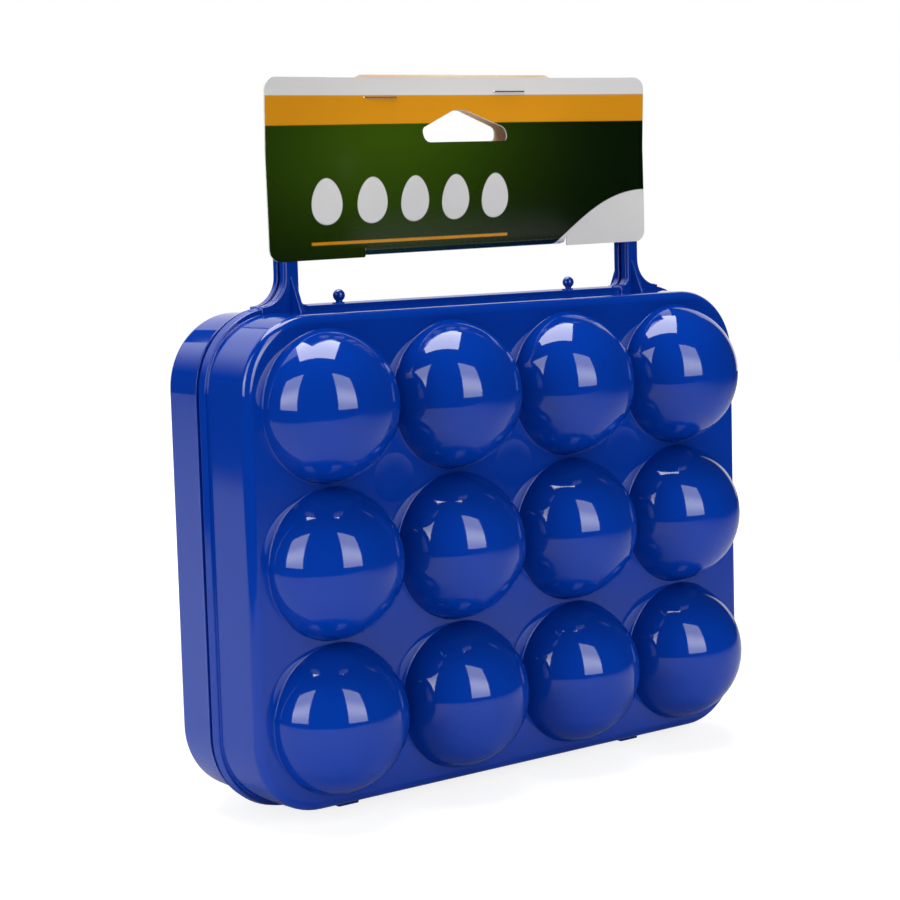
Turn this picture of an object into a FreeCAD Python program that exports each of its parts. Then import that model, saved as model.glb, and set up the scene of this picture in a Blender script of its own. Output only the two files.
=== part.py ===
"""Twelve-egg carrying case: two hinged plastic half shells with domed egg cups, a split
handle, snap catches, a hinge pin and a folded header card stapled round the handle.

The case stands upright on its hinge side. +Z is up, +X is to the right seen from the front,
and the front half faces -Y. The halves meet in the plane Y = 0, and Z = 0 is the floor.
All sizes are millimetres.
"""
import FreeCAD, Part
import os

Vec = FreeCAD.Vector

# Egg grid and cups
egg_pitch = 48.0
egg_columns = 4
egg_rows = 3
wall = 1.6
cup_radius = 23.6
cup_centre_inset = 2.7
egg_end_radius = 20.0
egg_half_length = 30.5
rib_thickness = 1.2

# Half shell
shell_depth = 22.3
face_margin_side = 5.2
face_margin_end = 3.7
draft = 0.3
corner_radius = 23.0
edge_rounding = 3.0
flange_thickness = 3.0
flange_width = 2.0
dimple_radius = 7.7
dimple_depth = 0.12

# Hinge and standing feet
pin_radius = 0.9
pin_clearance = 0.05
barrel_radius = 1.9
barrel_gap = 0.25
knuckle_count = 5
knuckle_length = 28.0
knuckle_gap = 0.4
foot_width = 8.0
foot_length = 6.0
foot_gap = 0.4
front_foot_x = 60.0
rear_foot_x = 50.0

# Handle
leg_outer_x = 73.3
leg_width = 5.0
handle_rise = 37.5
grip_height = 12.0
handle_gap = 1.2
handle_rib_depth = 1.0
handle_rib_inset = 0.2
grip_corner = 12.0
leg_outer_fillet = 9.0
leg_inner_fillet = 3.0
gusset_rise = 12.0
gusset_reach = 5.0
gusset_thickness = 1.5

# Snap catches
catch_x = 48.0
stud_y = 4.1
stud_radius = 1.1
ball_radius = 1.95
ball_rise = 1.9
fork_prong = 1.25
fork_clearance = 0.25
fork_thickness = 1.0
notch_clearance = 0.6

# Header card and staples
card_thickness = 0.45
card_half_width = 77.55
card_bottom = 14.2
card_top = 70.0
card_corner = 4.0
card_clearance = 0.2
card_bend = 45.0
card_flare = 1.5
card_leaf_gap = 0.2
card_shift_x = -1.95
card_turn = -0.7
fold_lift = 0.6
tongue_half_width = 41.7
tongue_rise = 1.05
hang_hole_low = 49.35
hang_hole_high = 59.6
hang_hole_half_width = 17.1
hang_hole_side = 4.4
hang_hole_round = 2.2
staple_length = 13.5
staple_wire = 0.55
staple_left_x = -32.6
staple_left_rise = 63.75
staple_right_x = 20.7
staple_right_rise = 65.55

# Values that follow from the driving dimensions
hinge_z = barrel_radius
window_half_width = egg_pitch * egg_columns / 2
window_half_height = egg_pitch * egg_rows / 2
face_half_width = window_half_width + face_margin_side
face_half_height = window_half_height + face_margin_end
wall_half_width = face_half_width + draft
wall_half_height = face_half_height + draft
centre_z = hinge_z + barrel_radius + barrel_gap + wall_half_height
flange_half_width = wall_half_width + flange_width
flange_half_height = wall_half_height + flange_width
flange_top = centre_z + flange_half_height
wall_top = centre_z + wall_half_height
hinge_length = knuckle_count * knuckle_length + (knuckle_count - 1) * knuckle_gap
dish_radius = (dimple_radius ** 2 + dimple_depth ** 2) / (2 * dimple_depth)
tongue_top = card_top + tongue_rise
card_front_y = -flange_thickness - handle_rib_depth - card_clearance - card_thickness / 2
card_pinch_y = -card_thickness - card_leaf_gap
card_flare_y = card_front_y - card_flare
arc_inset = 1 - 0.5 ** 0.5
tolerance = 0.001
far = 400.0


def box(x_low, x_high, y_low, y_high, z_low, z_high):
    """A box between two corners."""
    corner = Vec(x_low, y_low, z_low)
    return Part.makeBox(x_high - x_low, y_high - y_low, z_high - z_low, corner)


def arc(start, middle, end):
    """An arc edge through three points."""
    return Part.Arc(start, middle, end).toShape()


def outline(half_width, half_height, radius, y):
    """A rounded rectangle round the egg grid's centre, in a plane of constant Y."""
    diagonal = radius * arc_inset
    edges = []
    for side_x, side_z in ((1, 1), (1, -1), (-1, -1), (-1, 1)):
        corner_x = side_x * half_width
        corner_z = centre_z + side_z * half_height
        on_top = Vec(corner_x - side_x * radius, y, corner_z)
        on_side = Vec(corner_x, y, corner_z - side_z * radius)
        between = Vec(corner_x - side_x * diagonal, y, corner_z - side_z * diagonal)
        start, end = (on_top, on_side) if side_x == side_z else (on_side, on_top)
        if edges:
            edges.append(Part.makeLine(edges[-1].Vertexes[-1].Point, start))
        edges.append(arc(start, between, end))
    edges.append(Part.makeLine(edges[-1].Vertexes[-1].Point, edges[0].Vertexes[0].Point))
    return Part.Wire(edges)


def slab(half_width, half_height, radius, y_low, y_high):
    """A rounded rectangle given a thickness along Y."""
    face = Part.Face(outline(half_width, half_height, radius, y_low))
    return face.extrude(Vec(0, y_high - y_low, 0))


def rearward(shape):
    """The same shape on the rear half."""
    return shape.mirror(Vec(0, 0, 0), Vec(0, 1, 0))


def front_body():
    """The solid envelope of the front half: drafted walls, rounded face edge and flange."""
    root = outline(wall_half_width, wall_half_height, corner_radius + draft, -flange_thickness)
    face = outline(face_half_width, face_half_height, corner_radius, -shell_depth)
    tub = Part.makeLoft([root, face], True, True)
    rim = [edge for edge in tub.Edges if abs(edge.BoundBox.YMax + shell_depth) < tolerance]
    tub = tub.makeFillet(edge_rounding, rim)
    flange_corner = corner_radius + draft + flange_width
    flange = slab(flange_half_width, flange_half_height, flange_corner, -flange_thickness, 0)
    return tub.fuse(flange).removeSplitter()


def window():
    """The part of the face plate that the egg cups fill, right through the front half."""
    grid = box(-window_half_width, window_half_width, -far, far,
               centre_z - window_half_height, centre_z + window_half_height)
    inside = slab(face_half_width - wall, face_half_height - wall, corner_radius - wall, -far, far)
    return grid.common(inside)


def front_frame(body):
    """The front half's walls, face border and flange, open at the hinge and the parting plane."""
    cavity = slab(face_half_width - wall, face_half_height - wall, corner_radius - wall,
                  wall - shell_depth, far)
    hinge_end = hinge_length / 2 + knuckle_gap
    hinge_cut = box(-hinge_end, hinge_end, -flange_thickness, far, -far, centre_z - wall_half_height)
    return body.cut(cavity).cut(window()).cut(hinge_cut)


def feet(foot_x):
    """Two pads under the front half's bottom wall that bring it down to the floor."""
    pads = []
    rear_y = -flange_thickness - foot_gap
    top = centre_z - face_half_height + wall / 2
    for side in (-1, 1):
        low = side * foot_x - foot_width / 2
        pads.append(box(low, low + foot_width, rear_y - foot_length, rear_y, 0, top))
    return pads


def front_cup():
    """One cell of the front face with its domed egg cup and crossed egg ribs, in the grid's middle."""
    half = egg_pitch / 2
    face_y = -shell_depth
    centre = Vec(0, face_y + cup_centre_inset, centre_z)
    cell = box(-half, half, face_y, face_y + wall, centre_z - half, centre_z + half)
    ahead = box(-half, half, face_y - cup_radius, face_y + wall / 2, centre_z - half, centre_z + half)
    dome = Part.makeSphere(cup_radius, centre, Vec(0, -1, 0)).common(ahead)
    hollow = Part.makeSphere(cup_radius - wall, centre, Vec(0, -1, 0))
    cup = cell.fuse(dome).cut(hollow)
    egg_centre = Vec(0, egg_end_radius - egg_half_length, centre_z)
    egg_end = Part.makeSphere(egg_end_radius, egg_centre, Vec(0, -1, 0))
    rib_room = Part.makeSphere(cup_radius - wall / 2, centre, Vec(0, -1, 0))
    rib_half = rib_thickness / 2
    ahead_y = face_y - cup_radius
    rib_across = box(-half, half, ahead_y, face_y, centre_z - rib_half, centre_z + rib_half)
    rib_upright = box(-rib_half, rib_half, ahead_y, face_y, centre_z - half, centre_z + half)
    ribs = rib_across.fuse(rib_upright).common(rib_room).cut(egg_end)
    return cup.fuse(ribs).removeSplitter()


def dimples():
    """The shallow dished marks in the front face, one between each four cups of the upper rows."""
    marks = []
    dish_y = dimple_depth - shell_depth - dish_radius
    for gap in range(1, egg_columns):
        x = (gap - egg_columns / 2) * egg_pitch
        centre = Vec(x, dish_y, centre_z + egg_pitch / 2)
        middle = Vec(x, -shell_depth, centre_z + egg_pitch / 2)
        disc = Part.makeCylinder(dimple_radius, dimple_depth, middle, Vec(0, 1, 0))
        marks.append(disc.common(Part.makeSphere(dish_radius, centre, Vec(0, 1, 0))))
    return Part.makeCompound(marks)


def handle_profile(inset):
    """The handle's outline seen from the front, drawn in by an inset, its legs run into the flange."""
    outer = leg_outer_x - inset
    inner = leg_outer_x - leg_width + inset
    top = flange_top + handle_rise - inset
    grip_low = flange_top + handle_rise - grip_height + inset
    base = flange_top - flange_width
    spread_out = outer + leg_outer_fillet
    spread_in = inner - leg_inner_fillet
    inner_corner = grip_corner - leg_width
    right = [
        (spread_out, base), (spread_out, flange_top),
        ("arc", outer + leg_outer_fillet * arc_inset, flange_top + leg_outer_fillet * arc_inset),
        (outer, flange_top + leg_outer_fillet), (outer, top - grip_corner),
        ("arc", outer - grip_corner * arc_inset, top - grip_corner * arc_inset),
        (outer - grip_corner, top),
    ]
    right_inside = [
        (inner - inner_corner, grip_low),
        ("arc", inner - inner_corner * arc_inset, grip_low - inner_corner * arc_inset),
        (inner, grip_low - inner_corner),
        (inner, flange_top + leg_inner_fillet),
        ("arc", inner - leg_inner_fillet * arc_inset, flange_top + leg_inner_fillet * arc_inset),
        (spread_in, flange_top), (spread_in, base),
    ]
    left = [mirrored_step(step) for step in reversed(right)]
    left_inside = [mirrored_step(step) for step in reversed(right_inside)]
    return closed_face(right + left + left_inside + right_inside)


def mirrored_step(step):
    """One step of an outline, mirrored from the right side to the left."""
    if step[0] == "arc":
        return ("arc", -step[1], step[2])
    return (-step[0], step[1])


def closed_face(steps):
    """A flat face in the plane Y = 0 from points and arc middles in X and Z."""
    edges = []
    previous = None
    middle = None
    for step in steps + [steps[0]]:
        if step[0] == "arc":
            middle = Vec(step[1], 0, step[2])
            continue
        point = Vec(step[0], 0, step[1])
        if previous is not None:
            edges.append(arc(previous, middle, point) if middle else Part.makeLine(previous, point))
        previous = point
        middle = None
    return Part.Face(Part.Wire(edges))


def raised(face, y_low, y_high):
    """A flat face in the plane Y = 0 given a thickness from one Y to another."""
    moved = face.copy()
    moved.translate(Vec(0, y_low, 0))
    return moved.extrude(Vec(0, y_high - y_low, 0))


def gusset(side, reach, depth):
    """A triangular web in front of one leg, from the leg down to the top wall."""
    low = wall_top - wall
    outer = leg_outer_x - (leg_width - gusset_thickness) / 2
    inner = outer - gusset_thickness
    tip = -depth - reach
    steps = [Vec(0, -depth, low), Vec(0, -depth, wall_top + gusset_rise)]
    steps += [Vec(0, tip, wall_top), Vec(0, tip, low)]
    web = Part.Face(Part.makePolygon(steps + [steps[0]])).extrude(Vec(outer - inner, 0, 0))
    web.translate(Vec(inner if side > 0 else -outer, 0, 0))
    return web


def front_handle(body):
    """The front half of the handle: a flat bow, a rib in front of it and a gusset before each leg."""
    rib_front = flange_thickness + handle_rib_depth
    handle = raised(handle_profile(0), -flange_thickness, -handle_gap / 2)
    handle = handle.fuse(raised(handle_profile(handle_rib_inset), -rib_front, -flange_thickness))
    for side in (-1, 1):
        handle = handle.fuse(gusset(side, gusset_reach, rib_front))
    return handle.cut(body).removeSplitter()


def rear_handle(body):
    """The rear half of the handle: a flat bow, a thicker grip and a gusset behind each leg."""
    rib_front = flange_thickness + handle_rib_depth
    handle = raised(handle_profile(0), -flange_thickness, -handle_gap / 2)
    grip = raised(handle_profile(handle_rib_inset), -rib_front, -flange_thickness)
    above_legs = box(-far, far, -far, far, flange_top + handle_rise - grip_height, far)
    handle = handle.fuse(grip.common(above_legs))
    for side in (-1, 1):
        handle = handle.fuse(gusset(side, gusset_reach, flange_thickness))
    return rearward(handle.cut(body).removeSplitter())


def knuckle(index):
    """One hinge knuckle: a bored barrel with a web up to its own half's bottom wall."""
    low = index * (knuckle_length + knuckle_gap) - hinge_length / 2
    high = low + knuckle_length
    barrel = Part.makeCylinder(barrel_radius, knuckle_length, Vec(low, 0, hinge_z), Vec(1, 0, 0))
    web = box(low, high, -flange_thickness, 0, hinge_z, centre_z - wall_half_height)
    bore_radius = pin_radius + pin_clearance
    bore = Part.makeCylinder(bore_radius, knuckle_length, Vec(low, 0, hinge_z), Vec(1, 0, 0))
    piece = barrel.fuse(web).removeSplitter().cut(bore)
    return piece if index % 2 else rearward(piece)


def catch_stud(side, rear_body):
    """A ball-headed stud standing on the rear half's top wall, close behind the flange."""
    x = side * catch_x
    ball_z = flange_top + ball_rise
    foot_z = wall_top - wall / 2
    post = Part.makeCylinder(stud_radius, ball_z - foot_z, Vec(x, stud_y, foot_z))
    return post.fuse(Part.makeSphere(ball_radius, Vec(x, stud_y, ball_z))).cut(rear_body)


def fork_half_width():
    """Half the width of a catch fork."""
    return stud_radius + fork_clearance + fork_prong


def catch_fork(side):
    """A forked tongue on the front flange that reaches back round the stud's neck."""
    x = side * catch_x
    half = fork_half_width()
    slot = stud_radius + fork_clearance
    low = flange_top - flange_width / 2 - fork_thickness / 2
    end_y = stud_y + slot
    tongue = box(x - half, x + half, 0, end_y, low, low + fork_thickness)
    round_end = Part.makeCylinder(slot, fork_thickness, Vec(x, stud_y, low))
    mouth = box(x - slot, x + slot, stud_y, far, low, low + fork_thickness)
    return tongue.cut(round_end).cut(mouth)


def fork_notch(side):
    """The gap in the rear flange that a catch fork passes through."""
    x = side * catch_x
    half = fork_half_width() + notch_clearance
    return box(x - half, x + half, 0, flange_thickness, wall_top, far)


def edges_through(block, above_z):
    """The straight edges that run along Y through a block, above a height."""
    through = block.BoundBox.YLength / 2
    return [edge for edge in block.Edges
            if edge.BoundBox.YLength > through and edge.BoundBox.ZMin > above_z]


def hang_hole():
    """A rounded triangular hole for a shop peg, cut along Y through both layers of the card."""
    half = hang_hole_half_width
    low = flange_top + hang_hole_low
    high = flange_top + hang_hole_high
    steps = [Vec(-half, -far, low), Vec(half, -far, low), Vec(half, -far, low + hang_hole_side),
             Vec(hang_hole_round, -far, high), Vec(-hang_hole_round, -far, high),
             Vec(-half, -far, low + hang_hole_side)]
    block = Part.Face(Part.makePolygon(steps + [steps[0]])).extrude(Vec(0, 2 * far, 0))
    return block.makeFillet(hang_hole_round, edges_through(block, low - far))


def leaf_y(x, z):
    """Where the front leaf's middle layer lies: flat below its bend, drawn back to the tongue above."""
    drop = card_pinch_y - card_flare_y
    radius = (card_half_width ** 2 + drop ** 2) / (2 * drop)
    top_y = card_pinch_y - radius + (radius ** 2 - x ** 2) ** 0.5
    up = (z - flange_top - card_bend) / (card_top - card_bend)
    return card_front_y + max(up, 0) * (top_y - card_front_y)


def card_leaf():
    """The wide front leaf, before its corners, fold and hole are cut."""
    bend = flange_top + card_bend
    top = flange_top + card_top
    half = card_half_width
    ends = [Vec(x, leaf_y(x, top), top) for x in (-half, 0, half)]
    foot = Part.makeLine(Vec(-half, card_front_y, bend), Vec(half, card_front_y, bend))
    upper = Part.makeRuledSurface(foot, arc(*ends))
    lower = Part.makeRuledSurface(Part.makeLine(Vec(-half, card_front_y, flange_top + card_bottom),
                                                Vec(half, card_front_y, flange_top + card_bottom)), foot)
    sheets = []
    for sheet in (lower, upper):
        sheet.translate(Vec(0, -card_thickness / 2, 0))
        sheets.append(sheet.extrude(Vec(0, card_thickness, 0)))
    return sheets[0].fuse(sheets[1])


def header_card():
    """The folded card: a wide front leaf, a fold under the front grip and a tongue behind it."""
    low = flange_top + card_bottom
    top = flange_top + card_top
    fold_radius = -card_front_y / 2
    fold_z = low + fold_lift + fold_radius + card_thickness / 2
    leaf_shape = box(-card_half_width, card_half_width, -far, far, low, top)
    leaf_shape = leaf_shape.makeFillet(card_corner, edges_through(leaf_shape, low - far))
    fold_bay = box(-tongue_half_width, tongue_half_width, -far, far, low - far, fold_z)
    leaf = card_leaf().common(leaf_shape).cut(fold_bay)
    roll = []
    for radius in (fold_radius + card_thickness / 2, fold_radius - card_thickness / 2):
        centre = Vec(-tongue_half_width, card_front_y / 2, fold_z)
        roll.append(Part.makeCylinder(radius, 2 * tongue_half_width, centre, Vec(1, 0, 0)))
    fold = roll[0].cut(roll[1]).common(fold_bay)
    tongue = box(-tongue_half_width, tongue_half_width, -card_thickness / 2, card_thickness / 2,
                 fold_z, flange_top + tongue_top)
    tongue = tongue.makeFillet(card_corner, edges_through(tongue, top - card_corner))
    return leaf.fuse([fold, tongue]).removeSplitter().cut(hang_hole())


def staple(middle_x, rise):
    """A wire staple: crown on the leaf, legs through both layers, ends clinched behind."""
    z_low = flange_top + rise - staple_wire / 2
    z_high = z_low + staple_wire
    half = staple_length / 2
    front_y = leaf_y(abs(middle_x) + half, z_low) - card_thickness / 2
    back_y = card_thickness / 2
    end_y = back_y + staple_wire
    crown = box(middle_x - half, middle_x + half, front_y - staple_wire, front_y, z_low, z_high)
    pieces = []
    for side in (-1, 1):
        outer = middle_x + side * half
        inner = outer - side * staple_wire
        clinch = outer - side * (half - staple_wire)
        pieces.append(box(min(outer, inner), max(outer, inner), front_y, end_y, z_low, z_high))
        pieces.append(box(min(outer, clinch), max(outer, clinch), back_y, end_y, z_low, z_high))
    return crown.fuse(pieces).removeSplitter()


def hung(shape):
    """A piece of the card moved to where the card hangs: a little to one side and a little askew."""
    shape.rotate(Vec(0, 0, flange_top + (card_bottom + card_top) / 2), Vec(0, 1, 0), card_turn)
    shape.translate(Vec(card_shift_x, 0, 0))
    return shape


def hinge_pin():
    """The rod that all the knuckles turn on."""
    return Part.makeCylinder(pin_radius, hinge_length, Vec(-hinge_length / 2, 0, hinge_z), Vec(1, 0, 0))


def build():
    """Every sub-part by its name."""
    body = front_body()
    rear_body = rearward(body)
    frame = front_frame(body)
    nodes = {}
    nodes["front_frame"] = frame.fuse(feet(front_foot_x)).removeSplitter()
    rear_frame = rearward(frame.fuse(feet(rear_foot_x)).removeSplitter())
    nodes["rear_frame"] = rear_frame.cut(fork_notch(-1)).cut(fork_notch(1))
    cup = front_cup()
    opening = window()
    marks = dimples()
    for row in range(egg_rows):
        for column in range(egg_columns):
            x = (column - (egg_columns - 1) / 2) * egg_pitch
            z = ((egg_rows - 1) / 2 - row) * egg_pitch
            placed = cup.copy()
            placed.translate(Vec(x, 0, z))
            placed = placed.common(opening)
            place = f"r{row + 1}_c{column + 1}"
            nodes[f"rear_cup_{place}"] = rearward(placed)
            nodes[f"front_cup_{place}"] = placed.cut(marks)
    nodes["front_handle"] = front_handle(body)
    nodes["rear_handle"] = rear_handle(body)
    for index in range(knuckle_count):
        half = "front" if index % 2 else "rear"
        nodes[f"{half}_knuckle_{index + 1}"] = knuckle(index)
    nodes["hinge_pin"] = hinge_pin()
    for name, side in (("left", -1), ("right", 1)):
        nodes[f"catch_stud_{name}"] = catch_stud(side, rear_body)
        nodes[f"catch_fork_{name}"] = catch_fork(side)
    card = header_card()
    places = (("left", staple_left_x, staple_left_rise), ("right", staple_right_x, staple_right_rise))
    for name, x, rise in places:
        wire = staple(x, rise)
        card = card.cut(wire)
        nodes[f"staple_{name}"] = hung(wire)
    nodes["header_card"] = hung(card)
    return nodes


os.makedirs("parts", exist_ok=True)
for name, shape in build().items():
    solid = shape.Solids[0] if len(shape.Solids) == 1 else shape
    print(name, len(shape.Solids), round(shape.Volume, 1), shape.isValid())
    solid.exportStep(f"parts/{name}.step")
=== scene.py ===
"""Looks of a twelve-egg carrying case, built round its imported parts.

The case stands on its hinge side and faces -Y, with a folded header card on its handle. Each half
shell is one moulding: a rounded tub with twelve domes on its face, a few shallow dishes between
them and a flange round its edge. All sizes are metres.
"""

import math

import bpy
import numpy as np
from bpy.props import FloatProperty, FloatVectorProperty, PointerProperty
from mathutils import Matrix, Vector
from mathutils.geometry import delaunay_2d_cdt

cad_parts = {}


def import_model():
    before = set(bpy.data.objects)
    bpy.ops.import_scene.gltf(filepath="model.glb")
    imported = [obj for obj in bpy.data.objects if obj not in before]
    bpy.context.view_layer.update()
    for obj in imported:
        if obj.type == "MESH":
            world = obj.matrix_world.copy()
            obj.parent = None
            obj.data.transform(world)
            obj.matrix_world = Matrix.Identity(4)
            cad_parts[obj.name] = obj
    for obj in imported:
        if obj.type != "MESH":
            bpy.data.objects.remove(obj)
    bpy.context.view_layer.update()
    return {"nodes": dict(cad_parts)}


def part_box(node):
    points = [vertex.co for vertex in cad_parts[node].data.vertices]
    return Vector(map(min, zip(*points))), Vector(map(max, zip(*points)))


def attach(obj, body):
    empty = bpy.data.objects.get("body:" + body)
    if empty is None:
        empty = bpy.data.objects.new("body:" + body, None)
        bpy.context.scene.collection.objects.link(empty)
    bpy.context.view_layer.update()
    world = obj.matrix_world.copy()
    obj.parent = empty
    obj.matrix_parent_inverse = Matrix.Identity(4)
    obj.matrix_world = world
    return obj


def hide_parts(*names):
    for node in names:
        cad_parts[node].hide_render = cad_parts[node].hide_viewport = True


bl_info = {
    "name": "Egg carrying case",
    "version": (1, 0, 0),
    "blender": (4, 5, 0),
    "location": "3D View > Sidebar > Egg case",
    "description": "Builds a hinged egg carrying case with its header card on a white studio floor",
    "category": "Object",
}

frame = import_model()

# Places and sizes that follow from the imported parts
COLUMNS = 4
ROWS = 3
FRONT = -1
REAR = 1
cell_low, cell_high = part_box("front_cup_r2_c2")
egg_pitch = cell_high.x - cell_low.x
centre_z = (cell_low.z + cell_high.z) / 2
dome_front = -cell_low.y
frame_low, frame_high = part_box("front_frame")
shell_depth = -frame_low.y
flange_half_width = frame_high.x
flange_top = frame_high.z
flange_half_height = flange_top - centre_z
handle_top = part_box("front_handle")[1].z
stud_low, stud_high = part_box("catch_stud_right")
stud_x = (stud_low.x + stud_high.x) / 2

MM = 0.001
# Points that lie closer than this are one vertex
JOIN = 1e-8
# Distance between points along the cells' edges, and points round a patch at their inner corners
EDGE_STEP = 2 * MM
PATCH_POINTS = 32
# How much tighter the window of the cups turns at its corners than the face
WINDOW_TRIM = 5 * MM


def length(name, description, millimetres):
    """A length that a user may change."""
    return FloatProperty(name=name, description=description, default=millimetres * MM, min=0.0,
                         unit="LENGTH", precision=5)


def colour(name, description, value):
    """A colour that a user may change, as linear red, green and blue."""
    return FloatVectorProperty(name=name, description=description, default=value, size=3,
                               subtype="COLOR", min=0.0, max=1.0)


def share(name, description, value):
    """A factor between 0 and 1 that a user may change."""
    return FloatProperty(name=name, description=description, default=value, min=0.0, max=1.0,
                         subtype="FACTOR")


def strength(name, description, value):
    """A light's radiance that a user may change."""
    return FloatProperty(name=name, description=description, default=value, min=0.0)


class ShellSizes(bpy.types.PropertyGroup):
    """Sizes of the two half shells."""

    wall: length("Wall", "Thickness of the moulded wall", 1.6)
    cup_radius: length("Cup radius", "Outer radius of an egg cup's dome", 23.6)
    cup_fillet: length("Cup fillet", "Fillet between a dome and the face", 0.4)
    corner_radius: length("Corner radius", "Corner radius of the face", 23.0)
    edge_rounding: length("Edge rounding", "Rounding between the face and the side walls", 3.0)
    draft: length("Draft", "How much a side wall leans out from the face to the flange", 1.0)
    end_draft: length("End draft", "The same lean of the top and bottom walls", 0.2)
    flange_width: length("Flange width", "How far the flange stands out from a side wall", 1.3)
    flange_lean: length("Flange lean", "How much the flange's outer edge leans in towards its face", 0.5)
    rebate_width: length("Rebate width", "Width of the step that opens a slot between the flanges", 1.4)
    rebate_depth: length("Rebate depth", "Depth of that step in the rear flange", 1.8)
    flange_thickness: length("Flange thickness", "Thickness of one half's flange", 3.0)
    flange_rounding: length("Flange rounding", "Rounding of the flange's outer edge", 0.35)
    root_fillet: length("Root fillet", "Fillet between the wall and the flange", 0.4)
    parting_rounding: length("Parting rounding", "Rounding along the parting line", 0.25)
    dish_radius: length("Dish radius", "Radius of the shallow dishes between the upper cups", 7.7)
    dish_depth: length("Dish depth", "Depth of the shallow dishes", 0.24)
    patch_radius: length("Patch radius", "Radius of the round patches at the grid's inner corners", 8.4)
    hinge_half: length("Hinge half length", "Half the length of the hinge's gap in the flange", 72.0)
    notch_half: length("Notch half width", "Half the width of the rear flange's catch notches", 4.0)
    rib: length("Egg rib", "Thickness of the crossed ribs that hold an egg's end", 1.2)
    egg_radius: length("Egg radius", "Radius of the egg's end that the ribs follow", 20.0)
    egg_centre: length("Egg centre", "Distance of that radius's centre from the parting plane", 10.5)


class HandleSizes(bpy.types.PropertyGroup):
    """Sizes of the handle, its gussets and the standing pads."""

    leg_outer: length("Leg outer", "Distance of a leg's outer side from the middle", 73.3)
    leg_width: length("Leg width", "Width of a leg seen from the front", 5.0)
    half_gap: length("Half gap", "Half the gap between the two handle halves", 0.6)
    rib_depth: length("Rib depth", "How far the front rib stands proud on the legs", 1.0)
    grip_depth: length("Grip depth", "How far the grip stands proud of the flange", 1.0)
    rib_inset: length("Rib inset", "How far the rib is set in from the outline", 0.2)
    grip_height: length("Grip height", "Height of the grip bar", 12.0)
    grip_corner: length("Grip corner", "Outer corner radius between leg and grip", 12.0)
    outer_fillet: length("Outer fillet", "Fillet at a leg's outer foot", 9.0)
    inner_fillet: length("Inner fillet", "Fillet at a leg's inner foot", 3.0)
    rounding: length("Rounding", "Edge rounding of the handle", 0.35)
    gusset_thickness: length("Gusset thickness", "Thickness of the web before a leg", 1.5)
    gusset_reach: length("Gusset reach", "How far the web reaches along the top wall", 5.0)
    gusset_rise: length("Gusset rise", "How far the web rises up the leg", 12.0)
    pad_width: length("Pad width", "Width of a standing pad", 8.0)
    pad_length: length("Pad length", "Length of a standing pad", 6.0)
    pad_gap: length("Pad gap", "Gap between a pad and the flange", 0.4)
    front_pad_x: length("Front pad place", "Distance of the front pads from the middle", 60.0)
    rear_pad_x: length("Rear pad place", "Distance of the rear pads from the middle", 50.0)


class CardSizes(bpy.types.PropertyGroup):
    """Sizes of the folded header card and its staples."""

    thickness: length("Card thickness", "Thickness of the card", 0.45)
    half_width: length("Card half width", "Half the width of the front leaf", 77.55)
    bottom: length("Card bottom", "Height of the leaf's lower edge above the flange", 14.2)
    top: length("Card top", "Height of the leaf's upper edge above the flange", 70.0)
    corner: length("Card corner", "Corner radius of the card", 4.0)
    front: length("Card front", "Distance of the lower leaf in front of the parting plane", 4.425)
    bend: length("Bend", "Height above the flange where the leaf starts to draw back", 45.0)
    pinch: length("Pinch", "Distance of the leaf's pinched upper edge from the parting plane", 0.65)
    flare: length("Flare", "How far the leaf's upper corners stand out before its lower edge", 1.5)
    bulge: length("Bulge", "How far the leaf swells over the grip", 3.6)
    bulge_rise: length("Bulge height", "Height of the swelling above the flange", 42.0)
    shift: length("Shift", "How far the card hangs to the left of the middle", 1.95)
    turn: FloatProperty(name="Turn", description="How far the card hangs askew",
                        default=math.radians(0.7), unit="ROTATION")
    fold_lift: length("Fold lift", "How far the fold stays above the leaf's lower edge", 0.6)
    tongue_half: length("Tongue half width", "Half the width of the folded tongue", 41.7)
    tongue_rise: length("Tongue rise", "How far the tongue stands above the leaf", 1.05)
    hole_low: length("Hole bottom", "Height of the hang hole's lower edge above the flange", 49.35)
    hole_high: length("Hole top", "Height of the hang hole's tip above the flange", 59.6)
    hole_half: length("Hole half width", "Half the width of the hang hole", 17.1)
    hole_shift: length("Hole shift", "How far the hang hole lies to the left of the card's middle", 1.5)
    hole_side: length("Hole side", "Height of the hang hole's upright sides", 4.4)
    hole_round: length("Hole rounding", "Corner rounding of the hang hole", 2.2)
    staple_wire: length("Staple wire", "Diameter of the staple wire", 0.55)


class Finishes(bpy.types.PropertyGroup):
    """Colours and gloss of the case, the card and the metal."""

    plastic: colour("Plastic", "Colour of the moulded plastic", (0.0005, 0.027, 0.255))
    plastic_roughness: share("Plastic roughness", "Roughness of the moulded plastic", 0.05)
    field: colour("Card field", "Colour of the card's dark field", (0.001, 0.005, 0.0006))
    glow: colour("Card glow", "Colour of the card's lighter middle", (0.026, 0.060, 0.002))
    stripe: colour("Card stripe", "Colour of the card's upper stripe", (0.52, 0.215, 0.008))
    margin: colour("Card margin", "Colour of the card's margin and egg shapes", (0.56, 0.55, 0.545))
    # The unprinted side's colour is lighter than the board itself: painted light for the light that
    # shines through the thin card
    board: colour("Card board", "Colour of the card's unprinted side", (0.78, 0.60, 0.44))
    cut_edge: colour("Card cut edge", "Colour of the card's cut edge", (0.55, 0.53, 0.49))
    steel: colour("Steel", "Colour of the pin and staples", (0.62, 0.62, 0.63))


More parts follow.
